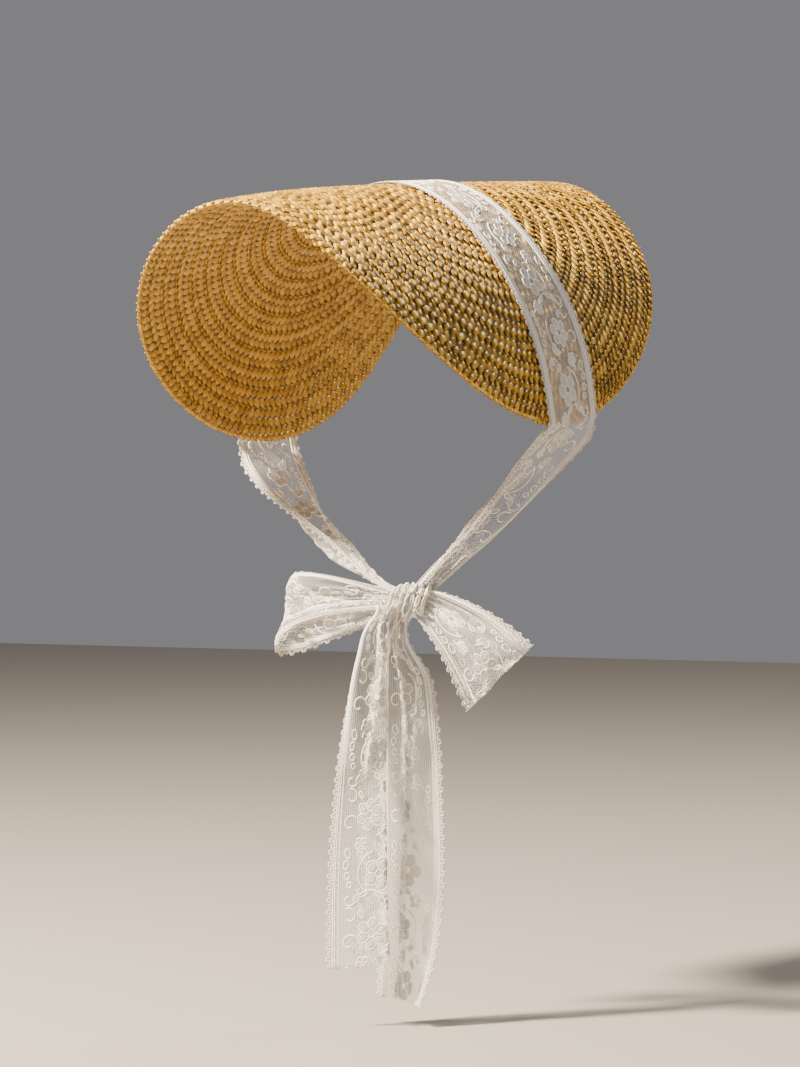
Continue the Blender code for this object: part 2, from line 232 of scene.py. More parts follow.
# The braid's path: its taper at the plate's edge as a share of a turn, how much of the taper is
# sewn, and how many turns before the middle it stops
BRAID_END_SECTOR = 0.2
BRAID_END_SEWN = 0.92
BRAID_STOPS = 0.3
PATH_STEPS = 240

# The straws that pass below the blocks, and the last straw round the edge
CORE_HALF = 0.0006
CORE_SHORT = 0.004
CORE_RINGS = 33
CORE_SECTORS = 180
RIM_RADIUS = 0.0009
RIM_SIDES = 6
RIM_TEETH = 230
RIM_TOOTH = 0.0005
RIM_TONES = (0.35, 0.85)
STEPS_PER_TOOTH = 4

# The ribbon's grids
ACROSS = 65
NET_ACROSS = ACROSS - 5
STRAP_STATIONS = 150
STRAND_STATIONS = 70
LOOP_STATIONS = 84
TAIL_STATIONS = 100
KNOT_STATIONS = 56
STEEPEST_WAVE = 2.6
WAVE_TRIES = 66
SECTION_SMOOTHING = 6
STRAND_SINK = 0.5

# The lace's pattern, in millimetres along and across the ribbon: one repeat of the ground between the
# two borders. Ovals are given by their long and short diameters and the turn of the long one
MM = 0.001
REPEAT = 72.0
Flower = namedtuple("Flower", "along across radius petals turn_deg")
FLOWERS = (
    Flower(along=16, across=3, radius=10.0, petals=5, turn_deg=12),
    Flower(along=52, across=-3, radius=9.4, petals=6, turn_deg=-8),
    Flower(along=34.5, across=10, radius=4.6, petals=5, turn_deg=30),
    Flower(along=70, across=-9, radius=4.4, petals=5, turn_deg=0),
)
Oval = namedtuple("Oval", "along across long wide turn_deg")
RINGS = (
    Oval(3, -18.5, 6.4, 3.8, 12), Oval(10, -19.5, 5.2, 3.4, -10), Oval(16.5, -18.6, 4.2, 3.6, 0),
    Oval(22, -17.2, 3.4, 3.0, 0), Oval(38, 20, 4.0, 3.4, 0), Oval(44, 19.2, 5.2, 3.4, 12),
    Oval(51, 17.8, 6.2, 3.8, -8), Oval(58, 18.8, 4.6, 3.4, 0), Oval(63.5, 20, 3.4, 3.0, 0),
)
LEAVES = (
    Oval(29, 3, 6.0, 3.0, 60), Oval(30, -12, 6.4, 3.0, -35), Oval(40, -9.5, 5.0, 2.8, 40),
    Oval(64, 7, 6.2, 3.0, -50), Oval(2, 9, 6.0, 3.0, 35), Oval(70, 15, 5.0, 2.6, -15),
)
Curl = namedtuple("Curl", "along across radius from_deg to_deg ends_at")
CURLS = (
    Curl(16, 3, 14.2, -165, -30, 1.0), Curl(26.3, -9.4, 5.2, 150, -150, 0.35),
    Curl(52, -3, 13.6, 20, 150, 1.0), Curl(61, 7.5, 5.0, -40, 260, 0.35), Curl(36, -4, 11, 100, 235, 0.9),
    Curl(31, -17.6, 4.6, 75, -200, 0.35), Curl(43, 12, 7.5, 170, 60, 0.9), Curl(1, 15, 6.4, 250, 20, 0.45),
    Curl(4.5, -9, 6.2, 60, 290, 0.4), Curl(41, -17, 5.4, 200, -60, 0.4), Curl(57, -17.5, 5.6, 120, 400, 0.4),
)
PETAL_PLACE = 0.62
PETAL_LONG = 0.80
PETAL_WIDE = 3.9
HEART = 0.5
BAND_STARTS = 24.6
BAND_WIDTH = 1.7
BAND_STEP = 2.0
SCALLOP_PITCH = 3.6
SCALLOP_LONG = 1.12 * SCALLOP_PITCH
SCALLOP_REACH = (32.5, 31.1)
SCALLOP_DEEP = 5.4
SCALLOP_TURN_DEG = 8
EYELET_SHARE = 0.34
GROUND_REACH = 30.4
CORD = 1.0
CORD_STEP = 1.1
BORDER_CORDS = (24.2, 26.4, 27.7)
BORDER_CORD_STEP = 1.5 * CORD_STEP
CLOTHWORK = 0.36
BAND_WALL = CLOTHWORK * 2 / 3
OVAL_SIDES = 10
RING_SIDES = 12

# The scales of the materials' patterns, in metres, and the fibres of a piece of straw, lengthwise and
# across it: across, they are 0.2 mm apart
STRAW_FIBRES = (1.5, 26.0, 1.0)
STRAW_FLECK = 1 / 260
COTTON_FLECK = 1 / 900
NET_MESH = 0.0016
DARNING_RIB = 0.0012
CORD_TWIST = 0.0008
WAVE_SCALE = math.pi / 10  # a wave texture of this scale has its stripes a metre apart

# The net's threads: the direction of each set, and how high on its wave a thread starts
NET_THREADS = ((90, 0.984), (32, 0.994), (-32, 0.994))

# The studio
FLOOR_HALF = 4.0
FLOOR_BELOW = 0.012
WORLD_STRENGTH = 0.38
Light = namedtuple("Light", "name at watts size code")
LIGHTS = (
    Light(name="key", at=(-0.90, -1.3, 1.35), watts=355, size=0.3, code="#FFEDD2"),
    Light(name="fill", at=(1.2, -1.1, 1.5), watts=4, size=0.8, code="#DDE8EA"),
    Light(name="back", at=(0.9, 1.6, 1.0), watts=20, size=0.8, code="#FFF6EA"),
)
LIGHTS_AIM = Vector((0, 0, -0.2))


def through(values, at):
    """A smooth value from its value at the front edge, the top and the back edge, at from 1 to -1."""
    front, top, back = values
    return top + (front - back) / 2 * at + ((front + back) / 2 - top) * at * at


def bent(forward, left):
    """Where a spot of the flat plate's middle layer lies when worn, before the origin is set."""
    at = np.clip(forward / PLATE_HALF_WIDTH, -BENDS_UP_TO, BENDS_UP_TO)
    flare = np.where(left < 0, (at + at * at) / 2, 0.0)
    edge, late, ridge = (
        (through(values, at) + flare * more)[..., None]
        for *values, more in zip(FRONT, TOP, BACK, RIGHT_FRONT_FLARE)
    )
    steps = (np.arange(ARC_SAMPLES) + 0.5) / ARC_SAMPLES
    way = np.clip(np.abs(left)[..., None] * steps / PLATE_HALF_WIDTH, 0, 1)
    turn = 1 - (1 - way) ** late
    angle = np.radians(edge) * turn * (1 + ridge * np.exp(-((way / RIDGE_REACH) ** 2)))
    second, third, fourth = TOP_LINE_DROP
    x = left * np.cos(angle).mean(-1)
    y = -forward
    z = -np.abs(left) * np.sin(angle).mean(-1)
    z = z - PLATE_HALF_WIDTH * (second * at**2 / 2 + third * at**3 / 3 + fourth * at**4 / 4)
    down, up = math.radians(FRONT_DOWN_DEG), math.radians(LEFT_UP_DEG)
    y, z = y * math.cos(down) - z * math.sin(down), y * math.sin(down) + z * math.cos(down)
    x, z = x * math.cos(up) - z * math.sin(up), x * math.sin(up) + z * math.cos(up)
    return np.stack([x, y, z], -1)


def raw_worn(forward, left, height):
    """A spot of the plate, height above its middle layer, before the origin is set."""
    forward, left, height = np.broadcast_arrays(*(np.asarray(v, float) for v in (forward, left, height)))
    step = 0.0005
    along = bent(forward - step, left) - bent(forward + step, left)
    across = bent(forward, left + step) - bent(forward, left - step)
    return bent(forward, left) + unit(np.cross(across, along)) * height[..., None]


def worn(forward, left, height):
    """As raw_worn, with the origin on the underside at the top of the head."""
    return raw_worn(forward, left, height) - raw_worn(0.0, 0.0, -PLATE_WALL / 2)


def turned(vector, degrees):
    """The vector turned about Z."""
    c, s = math.cos(math.radians(degrees)), math.sin(math.radians(degrees))
    x, y, z = vector
    return np.array((x * c - y * s, x * s + y * c, z))


def unit(vector):
    """The vector, or each of many, with a length of one."""
    vector = np.asarray(vector, float)
    return vector / np.linalg.norm(vector, axis=-1, keepdims=True)


def smooth(x):
    """Goes from 0 to 1 as x does, level at both ends."""
    x = np.clip(x, 0, 1)
    return x * x * (3 - 2 * x)


def hermite(t, start, leave, end, arrive):
    """A smooth way from start to end, with its direction and speed at both ends, as t goes from 0 to 1."""
    return (
        (2 * t**3 - 3 * t**2 + 1) * start + (t**3 - 2 * t**2 + t) * leave
        + (3 * t**2 - 2 * t**3) * end + (t**3 - t**2) * arrive
    )


def colour(code):
    """An sRGB hex colour as linear RGBA."""
    parts = [int(code[n:n + 2], 16) / 255 for n in (1, 3, 5)]
    return (*(p / 12.92 if p <= 0.04045 else ((p + 0.055) / 1.055) ** 2.4 for p in parts), 1.0)


def connect(tree, node, sockets):
    """Sets a node's inputs, by name or number, to a value, an output or another node's first output."""
    for key, value in sockets.items():
        if isinstance(value, bpy.types.Node):
            value = value.outputs[0]
        if isinstance(value, bpy.types.NodeSocket):
            tree.links.new(value, node.inputs[key])
        else:
            node.inputs[key].default_value = value


def add(tree, kind, sockets=None, **settings):
    """Adds a node with its settings and its inputs."""
    made = tree.nodes.new(kind)
    for name, value in settings.items():
        setattr(made, name, value)
    connect(tree, made, sockets or {})
    return made


def ramp(tree, factor, *stops):
    """A colour ramp through (place, hex colour) stops."""
    made = add(tree, "ShaderNodeValToRGB", {0: factor})
    elements = made.color_ramp.elements
    while len(elements) < len(stops):
        elements.new(0.5)
    for element, (place, code) in zip(elements, stops):
        element.position = place
        element.color = colour(code)
    return made


def new_material(name):
    """A material, its node tree and its shader."""
    made = bpy.data.materials.new(name)
    made.use_nodes = True
    tree = made.node_tree
    return made, tree, tree.nodes["Principled BSDF"]


def new_object(name, data):
    """An object of this data, at the origin."""
    made = bpy.data.objects.new(name, data)
    bpy.context.scene.collection.objects.link(made)
    return made


def mesh_of(bm, name, closed=False):
    """Ends a bmesh as a new mesh. A closed one gets its faces turned outwards."""
    if closed:
        bmesh.ops.recalc_face_normals(bm, faces=bm.faces)
    mesh = bpy.data.meshes.new(name)
    bm.to_mesh(mesh)
    bm.free()
    return mesh


def joined(name, meshes):
    """One mesh of several, which are then removed."""
    bm = bmesh.new()
    for mesh in meshes:
        bm.from_mesh(mesh)
        bpy.data.meshes.remove(mesh)
    return mesh_of(bm, name)


def coordinates(mesh):
    """Where the mesh's vertices are."""
    points = np.empty(len(mesh.vertices) * 3, np.float32)
    mesh.vertices.foreach_get("co", points)
    return points.reshape(-1, 3).astype(float)


def place(mesh, points):
    """Moves the mesh's vertices to these points."""
    mesh.vertices.foreach_set("co", points.astype(np.float32).ravel())
    mesh.update()


def dress(mesh, material):
    """Gives the whole mesh one material and smooth shading."""
    mesh.materials.clear()
    mesh.materials.append(material)
    mesh.polygons.foreach_set("material_index", np.zeros(len(mesh.polygons), np.int32))
    mesh.shade_smooth()


# Geometry Nodes


def new_tree(name, **inputs):
    """An empty tree with geometry in and out, and named inputs, given by their sockets' kind."""
    tree = bpy.data.node_groups.new(name, "GeometryNodeTree")
    for way in ("INPUT", "OUTPUT"):
        tree.interface.new_socket("Geometry", in_out=way, socket_type="NodeSocketGeometry")
    for kind, labels in inputs.items():
        for label in labels:
            tree.interface.new_socket(label, in_out="INPUT", socket_type="NodeSocket" + kind)
    return tree, tree.nodes.new("NodeGroupInput").outputs


def finish_tree(tree, instances, material):
    """Ends a tree in real geometry with its material."""
    real = add(tree, "GeometryNodeRealizeInstances", {0: instances})
    done = add(tree, "GeometryNodeSetMaterial", {0: real, "Material": material})
    add(tree, "NodeGroupOutput", {0: done})
    return tree


def grown(base, tree, **inputs):
    """The mesh that a tree grows on a base object, which is then removed."""
    modifier = base.modifiers.new("grown", "NODES")
    modifier.node_group = tree
    for item in tree.interface.items_tree:
        if item.in_out == "INPUT" and item.name in inputs:
            modifier[item.identifier] = inputs[item.name]
    graph = bpy.context.evaluated_depsgraph_get()
    mesh = bpy.data.meshes.new_from_object(base.evaluated_get(graph))
    base.modifiers.remove(modifier)
    bpy.data.objects.remove(base)
    return mesh


def path_object(name, points, radii):
    """A polyline through the points, with a radius at each."""
    curve = bpy.data.curves.new(name, "CURVE")
    curve.dimensions = "3D"
    spline = curve.splines.new("POLY")
    spline.points.add(len(points) - 1)
    spline.points.foreach_set("co", np.hstack([points, np.ones((len(points), 1))]).ravel())
    spline.points.foreach_set("radius", radii)
    return new_object(name, curve)


# The straw


def braid_boundary(row):
    """Radius of the outer edge of a row, counted inwards from the plate's edge, at a share of a row too."""
    row = np.asarray(row, float)
    edge_part = PLATE_HALF_WIDTH - EDGE_ROW_SHARE * BRAID_WIDTH * np.clip(row, 0, 1)
    return edge_part - BRAID_WIDTH * np.maximum(row - 1, 0)


ROWS = int((PLATE_HALF_WIDTH - EDGE_ROW_SHARE * BRAID_WIDTH) / BRAID_WIDTH) + 1


def braid_row(turn):
    """Which row the spiral is in after so many turns from the edge. It steps inwards at the back."""
    whole = np.floor(turn)
    share = BRAID_END_SECTOR + (1 - BRAID_END_SECTOR) * np.clip(whole / ROWS, 0, 1) ** 2
    return whole + smooth((turn - whole - (1 - share)) / share)


def braid_path():
    """The braid's middle line, from its tapered end at the plate's edge in to the middle."""
    turns = np.arange(-BRAID_END_SECTOR * BRAID_END_SEWN, ROWS - BRAID_STOPS, 1 / PATH_STEPS)
    row = braid_row(turns)
    outer, inner = braid_boundary(row), np.maximum(braid_boundary(row + 1), 0)
    radius, width = (outer + inner) / 2, outer - inner
    angle = 2 * math.pi * turns + math.pi / 2 - 2 * math.pi * BRAID_END_SECTOR / 2
    points = np.stack([radius * np.cos(angle), radius * np.sin(angle), 0 * radius], -1)
    return points, width / BRAID_WIDTH


def straw_piece(name, ribs):
    """One visible stretch of straws in the plait, that rises over its neighbours and dips at both ends."""
    bm = bmesh.new()
    bmesh.ops.create_grid(bm, x_segments=PIECE_STEPS, y_segments=ribs * 2, size=0.5)
    bmesh.ops.contextual_create(bm, geom=[edge for edge in bm.edges if edge.is_boundary])
    bmesh.ops.recalc_face_normals(bm, faces=bm.faces)
    layer = bm.loops.layers.uv.new("UVMap")
    for face in bm.faces:
        for loop in face.loops:
            loop[layer].uv = (loop.vert.co.x + 0.5, loop.vert.co.y + 0.5)
    for vertex in bm.verts:
        x, y, _ = vertex.co
        arch = math.sqrt(max(1 - (2 * x) ** 2, 0))
        side = 1 - (2 * y) ** 4
        rib = 0.5 - 0.5 * math.cos(2 * math.pi * ribs * (y + 0.5))
        thickness = (END_THICKNESS + (1 - END_THICKNESS) * arch) * side * STRAW_RISE
        vertex.co = (
            x * (1 - SIDE_DRAW_IN * (2 * y) ** 2),
            y * (1 - END_DRAW_IN * (2 * x) ** 2),
            thickness + rib * arch * RIB_RISE,
        )
    mesh = mesh_of(bm, name)
    mesh.shade_smooth()
    return new_object(name, mesh)


def plait_tree():
    """Pieces of straw in one line along the braid's path. The path's radius is its width's share."""
    tree, given = new_tree("straw_plait", Object=("Piece",), Material=("Straw",), Int=("Seed",), Float=(
        "Pitch", "Forward", "Place", "Height", "Roll", "Lean", "Length", "Width", "Tone", "Spread",
    ))
    held = add(tree, "GeometryNodeCaptureAttribute", {0: given["Geometry"]})
    held.capture_items.new("FLOAT", "share")
    connect(tree, held, {"share": add(tree, "GeometryNodeInputRadius")})
    share = held.outputs["share"]
    even = add(tree, "GeometryNodeResampleCurve", {"Curve": held, "Length": given["Pitch"]}, mode="LENGTH")
    tangent = add(tree, "GeometryNodeInputTangent")
    outwards = add(tree, "ShaderNodeVectorMath", {0: tangent, 1: (0, 0, 1)}, operation="CROSS_PRODUCT")
    reach = add(tree, "ShaderNodeMath", {0: given["Place"], 1: share}, operation="MULTIPLY")
    aside = add(tree, "ShaderNodeVectorMath", {0: outwards, "Scale": reach}, operation="SCALE")
    along = add(tree, "ShaderNodeVectorMath", {0: tangent, "Scale": given["Forward"]}, operation="SCALE")
    lifted = add(tree, "ShaderNodeCombineXYZ", {2: given["Height"]})
    moved = add(tree, "ShaderNodeVectorMath", {0: along, 1: aside}, operation="ADD")
    moved = add(tree, "ShaderNodeVectorMath", {0: moved, 1: lifted}, operation="ADD")
    laid = add(tree, "GeometryNodeSetPosition", {0: even, "Offset": moved})

    rolled = add(tree, "ShaderNodeCombineXYZ", {0: given["Roll"]})
    uneven = add(tree, "FunctionNodeRandomValue", {0: -UNEVEN_TURN, 1: UNEVEN_TURN, "Seed": given["Seed"]},
                 data_type="FLOAT_VECTOR")
    leaned = add(tree, "ShaderNodeCombineXYZ", {1: math.radians(LAP_DEG), 2: given["Lean"]})
    leaned = add(tree, "ShaderNodeVectorMath", {0: leaned, 1: uneven}, operation="ADD")
    facing = add(tree, "FunctionNodeAlignRotationToVector", {"Vector": tangent}, axis="X", pivot_axis="Z")
    for angles in (rolled, leaned):
        euler = add(tree, "FunctionNodeEulerToRotation", {0: angles})
        facing = add(tree, "FunctionNodeRotateRotation", {0: facing, 1: euler}, rotation_space="LOCAL")

    size = add(tree, "ShaderNodeCombineXYZ", {0: given["Length"], 1: given["Width"], 2: 1.0})
    sizes = {2: 1 - UNEVEN_SIZE, 3: 1 + UNEVEN_SIZE, "Seed": given["Seed"]}
    uneven = add(tree, "FunctionNodeRandomValue", sizes, data_type="FLOAT").outputs[1]
    narrow = add(tree, "ShaderNodeMath", {0: share, 1: NARROWEST_PIECE}, operation="MAXIMUM")
    length = add(tree, "ShaderNodeMath", {0: narrow, 1: uneven}, operation="MULTIPLY")
    fitted = add(tree, "ShaderNodeCombineXYZ", {0: length, 1: uneven, 2: 1.0})
    size = add(tree, "ShaderNodeVectorMath", {0: size, 1: fitted}, operation="MULTIPLY")
    piece = add(tree, "GeometryNodeObjectInfo", {"Object": given["Piece"], "As Instance": True})
    placed = add(tree, "GeometryNodeInstanceOnPoints", {
        "Points": laid, "Instance": piece.outputs["Geometry"], "Rotation": facing, "Scale": size,
    })
    own = add(tree, "FunctionNodeRandomValue", {2: 0.0, 3: given["Spread"], "Seed": given["Seed"]},
              data_type="FLOAT").outputs[1]
    tone = add(tree, "ShaderNodeMath", {0: own, 1: given["Tone"]}, operation="ADD")
    named = add(tree, "GeometryNodeStoreNamedAttribute", {0: placed, "Name": "tone", "Value": tone},
                data_type="FLOAT", domain="INSTANCE")
    return finish_tree(tree, named, given["Straw"])


def straw_material():
    """Plaited wheat straw, split and flattened: its waxy skin gives warm glints along fine fibres.

    The attribute tone gives each piece its own shade, from shaded straw to bleached; on the upper face it
    also holds painted shade under the laps and a painted highlight on the raised folds.
    """
    made, tree, shader = new_material("plaited_wheat_straw")
    own = add(tree, "ShaderNodeAttribute", attribute_name="tone").outputs["Fac"]
    base = ramp(tree, own, (0.0, "#83641C"), (0.35, "#CC9C34"), (0.65, "#EAC052"), (1.0, "#FAE4A0"))
    uv = add(tree, "ShaderNodeUVMap", uv_map="UVMap")
    fibre = add(tree, "ShaderNodeMapping", {0: uv, "Scale": STRAW_FIBRES})
    streak = add(tree, "ShaderNodeTexNoise", {0: fibre, "Scale": 1.0, "Detail": 3.0})
    shade = ramp(tree, streak, (0.30, "#B9A276"), (0.60, "#FFFFFF"))
    mixed = add(tree, "ShaderNodeMix", {0: 0.6, 6: base, 7: shade}, data_type="RGBA", blend_type="MULTIPLY")
    bump = add(tree, "ShaderNodeBump", {"Strength": 0.25, "Distance": 0.0003, "Height": streak})
    connect(tree, shader, {
        "Base Color": mixed.outputs[2], "Roughness": 0.22, "Normal": bump,
        "Specular Tint": colour("#FFDF98"), "Specular IOR Level": 1.0,
    })
    return made


def core_material():
    """The straws that pass below the raised blocks: the same straw, dull and dark for want of light."""
    made, tree, shader = new_material("wheat_straw_undercrossing")
    spot = add(tree, "ShaderNodeTexCoord").outputs["Object"]
    flecks = add(tree, "ShaderNodeTexNoise", {0: spot, "Scale": 1 / STRAW_FLECK, "Detail": 2.0})
    base = ramp(tree, flecks, (0.35, "#3E3013"), (0.65, "#6E5524"))
    connect(tree, shader, {"Base Color": base, "Roughness": 0.6})
    return made


def spun(bm, outline, steps, name):
    """The closed mesh that an outline makes, turned once round the plate's middle."""
    bmesh.ops.spin(bm, geom=outline, axis=(0, 0, 1), cent=(0, 0, 0), steps=steps, angle=2 * math.pi)
    bmesh.ops.remove_doubles(bm, verts=bm.verts, dist=MERGE)
    return mesh_of(bm, name, closed=True)


def straw_object(mesh, material):
    """Takes a mesh from the flat plate to the worn one and dresses it."""
    x, y, z = coordinates(mesh).T
    place(mesh, worn(PLATE_SET_FORWARD - y * PLATE_LENGTH_SHARE, x, z))
    dress(mesh, material)
    return new_object(mesh.name, mesh)


def straw_core():
    """The thin wall of crossing straws between the two faces' blocks."""
    bm = bmesh.new()
    radii = PLATE_HALF_WIDTH * (1 - CORE_SHORT) * (np.arange(CORE_RINGS + 1) / CORE_RINGS)
    outline = [(r, CORE_HALF) for r in radii] + [(r, -CORE_HALF) for r in radii[::-1]]
    verts = [bm.verts.new((r, 0, h)) for r, h in outline]
    edges = [bm.edges.new(pair) for pair in zip(verts, verts[1:])]
    return straw_object(spun(bm, verts + edges, CORE_SECTORS, "straw_core"), core_material())


def straw_rim(straw):
    """The last straw round the plate's edge, with the small teeth where the plait turns back under it."""
    bm = bmesh.new()
    ring = bmesh.ops.create_circle(bm, segments=RIM_SIDES, radius=RIM_RADIUS)["verts"]
    for vertex in ring:
        vertex.co = (PLATE_HALF_WIDTH - RIM_RADIUS + vertex.co.x, 0, vertex.co.y)
    mesh = spun(bm, ring + bm.edges[:], RIM_TEETH * STEPS_PER_TOOTH, "straw_rim")
    spots = coordinates(mesh)
    turn = np.arctan2(spots[:, 1], spots[:, 0]) / (2 * math.pi) * RIM_TEETH
    tooth = 1 - np.abs(2 * (turn - np.floor(turn)) - 1)
    place(mesh, spots * (1 - RIM_TOOTH / PLATE_HALF_WIDTH * np.stack([tooth, tooth, 0 * tooth], -1)))
    tone = mesh.attributes.new("tone", "FLOAT", "POINT")
    tone.data.foreach_set("value", np.interp(tooth, (0, 1), RIM_TONES).astype(np.float32))
    mesh.uv_layers.new(name="UVMap")
    return straw_object(mesh, straw)


def straw_plate():
    """The whole plate: core, rim, and on each face the blocks of the plait and the folds along its rows."""
    straw = straw_material()
    block, fold = straw_piece("straw_block", BLOCK_RIBS), straw_piece("straw_fold", 1)
    points, shares = braid_path()
    tree = plait_tree()
    pieces = [straw_core(), straw_rim(straw)]
    for face in FACES:
        for part, source, lines in (("blocks", block, face.lines), ("folds", fold, (face.fold,))):
            meshes = [
                grown(path_object(part, points, shares), tree, Piece=source, Straw=straw, Seed=SEED + n,
                      Pitch=STRAW_PITCH, Forward=line.shift * STRAW_PITCH, Height=line.height * face.side,
                      Place=line.place * BRAID_WIDTH * face.side, Lean=math.radians(line.lean_deg),
                      Roll=math.radians(face.roll_deg + ROW_TILT_DEG), Length=line.length, Width=line.width,
                      Tone=line.tone, Spread=face.tone_spread)
                for n, line in enumerate(lines)
            ]
            pieces.append(straw_object(joined(f"straw_{part}_{face.name}", meshes), straw))
    bpy.data.objects.remove(block)
    bpy.data.objects.remove(fold)
    for piece in pieces:
        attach(piece, BODY)
        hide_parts("straw_plate")


# The ribbon's shape. Each piece is a grid of spots, stations along it by spots across its true width


def cross_sections(shares, waves, kinks, give):
    """Cross-sections of the ribbon that are as wide as the wanted shares of its true width.

    waves and kinks are the cloth's slope across, a row for each station: kinks hold as given, and waves
    are made as deep as the wanted width needs. give is how far the net's meshes close up by themselves
    where the ribbon is narrowed, from 0 to 1. Returns how far aside and how far out each spot lies.
    """
    tries = np.linspace(0, STEEPEST_WAVE, WAVE_TRIES)[:, None]
    step = RIBBON_WIDTH / (ACROSS - 1)
    aside, out = np.zeros_like(waves), np.zeros_like(waves)
    for n, wanted in enumerate(shares):
        share = min(wanted + give * wanted * (1 - wanted), 1.0)
        slopes = kinks[n] + tries * waves[n]
        slopes = (slopes[:, 1:] + slopes[:, :-1]) / 2
        run = np.cumsum(np.cos(slopes), axis=1) * step
        spread = np.maximum(run, 0).max(1) - np.minimum(run, 0).min(1)
        best = slopes[np.argmin(np.abs(spread - share * RIBBON_WIDTH))]
        run = np.concatenate([[0], np.cumsum(np.cos(best))]) * step
        rise = np.concatenate([[0], np.cumsum(np.sin(best))]) * step
        aside[n] = (run - (run.max() + run.min()) / 2) * wanted * RIBBON_WIDTH / np.ptp(run)
        out[n] = rise - rise.mean()
    for values in (aside, out):
        for _ in range(SECTION_SMOOTHING):
            values[1:-1] = (values[:-2] + 2 * values[1:-1] + values[2:]) / 4
    return aside, out


def wave_pattern(gathers, blend, phase):
    """Slopes of gathers: as near the knot where blend is 1, as far from it where blend is 0.

    They drift aside a little along the ribbon, so that none runs quite straight.
    """
    across = 2 * math.pi * np.linspace(0, 1, ACROSS)
    drift = phase + 0.5 * np.sin(2.3 * np.linspace(0, 1, len(blend)) + phase)[:, None]
    blend = blend[:, None]
    near, far = np.sin(gathers.near * across + drift), np.sin(gathers.far * across + 1.7 * drift)
    return blend * near + (1 - blend) * far


def kink_pattern(folds, strength):
    """Slopes of lasting folds, which hold as strongly as given at each station."""
    across = np.linspace(-1, 1, ACROSS) * RIBBON_WIDTH / 2
    slopes = np.zeros((len(strength), ACROSS))
    wander = np.sin(4.0 * np.linspace(0, 1, len(strength)))[:, None]
    for fold in folds:
        start = fold.at + fold.wander * wander
        slopes += math.radians(fold.turn_deg) * smooth((across - start) / fold.roundness + 0.5)
    return slopes * strength[:, None]


def plate_edge_left(forward):
    """How far to the side the flat plate reaches at this distance forward."""
    share = (forward - PLATE_SET_FORWARD) / (PLATE_HALF_WIDTH * PLATE_LENGTH_SHARE)
    return PLATE_HALF_WIDTH * np.sqrt(1 - share**2)


def strap_line(share, across):
    """The part of the strap that lies on the plate. share runs from -1 at the right edge to 1."""
    share, across = np.broadcast_arrays(share, across)
    forward = STRAP_CENTRE + STRAP_SKEW * np.abs(share) * PLATE_HALF_WIDTH + across * RIBBON_WIDTH / 2
    left = share * (plate_edge_left(forward) + STRAP_PAST_EDGE)
    return worn(forward, left, PLATE_WALL / 2 + BRAID_RISE + STRAP_LIFT + CLOTH / 2)


def strand_surface(strand, way, across):
    """The free strand from the plate's edge to the knot, flat across. across may differ at each station."""
    edge = strap_line(float(strand.side), across)
    before = strap_line(strand.side * (1 - STRAP_LAST_STRETCH), across)
    middle = KNOT + unit(strand.meets) * KNOT_SIZE.min() * STRAND_SINK
    end = middle - unit(strand.across) * (across * strand.width / 2)[..., None]
    leave, arrive = unit(edge - before) * strand.leave, unit(strand.runs) * strand.arrive
    return hermite(way[:, None, None], edge, leave, end, arrive)


def strand_grid(strand):
    """The free strand with its folds, and its width gathered towards the knot."""
    way = np.linspace(0, 1, STRAND_STATIONS + 1)[1:]
    edges = strand_surface(strand, way, np.broadcast_to((-1.0, 1.0), (STRAND_STATIONS, 2)))
    chord = np.linalg.norm(edges[:, 1] - edges[:, 0], axis=-1)
    easing = smooth(way / STRAND_EASING)
    kinks = kink_pattern(strand.folds, easing)
    finer = smooth((way - STRAND_WAVES_FINER_FROM) / STRAND_WAVES_OVER)
    waves = wave_pattern(STRAND_GATHERS, finer, strand.phase)
    waves = waves * smooth((way - STRAND_WAVES_FROM) / STRAND_WAVES_OVER)[:, None]
    aside, out = cross_sections(chord / RIBBON_WIDTH, waves, kinks, STRAND_GATHERS.give)
    grid = strand_surface(strand, way, 2 * aside / chord[:, None])
    along = np.gradient(grid, axis=0)
    sideways = (edges[:, 1] - edges[:, 0])[:, None]
    outwards = unit(np.cross(sideways, along)) * strand.side
    return grid + out[..., None] * outwards * easing[:, None, None]


def lace_strap():
    """The ribbon from the knot up one side, over the plate and down the other side to the knot."""
    on_plate = strap_line(np.linspace(-1, 1, STRAP_STATIONS)[:, None], np.linspace(-1, 1, ACROSS))
    return np.concatenate([strand_grid(STRAND_RIGHT)[::-1], on_plate, strand_grid(STRAND_LEFT)])


def bow_loop(loop):
    """A loop of ribbon: out from the knot, round its outer fold and back, gathered at the knot."""
    way = np.linspace(0, 1, LOOP_STATIONS)
    out, width = unit(loop.out), unit(loop.across)
    facing = unit(np.cross(width, out))
    reach = np.sin(math.pi * way)
    half = loop.waist + (loop.flare - loop.waist) * reach**loop.late
    waves = wave_pattern(LOOP_GATHERS, (1 - reach) ** LOOP_WAVES_FADE, loop.phase)
    aside, depth = cross_sections(2 * half / RIBBON_WIDTH, waves, 0 * waves, LOOP_GATHERS.give)
    length = LOOP_START + (loop.reach - LOOP_START) * reach
    rise = aside + (loop.lift * (1 - reach) + loop.arch * np.sin(math.pi * reach))[:, None]
    layer = LAYERS_APART / 2 * np.cos(math.pi * way) + loop.open_by * np.sin(2 * math.pi * way)
    return (
        KNOT
        + length[:, None, None] * out
        + rise[..., None] * width
        + (layer[:, None] + depth)[..., None] * facing
        + loop.behind * turned((0, 1, 0), KNOT_TURN_DEG)
    )


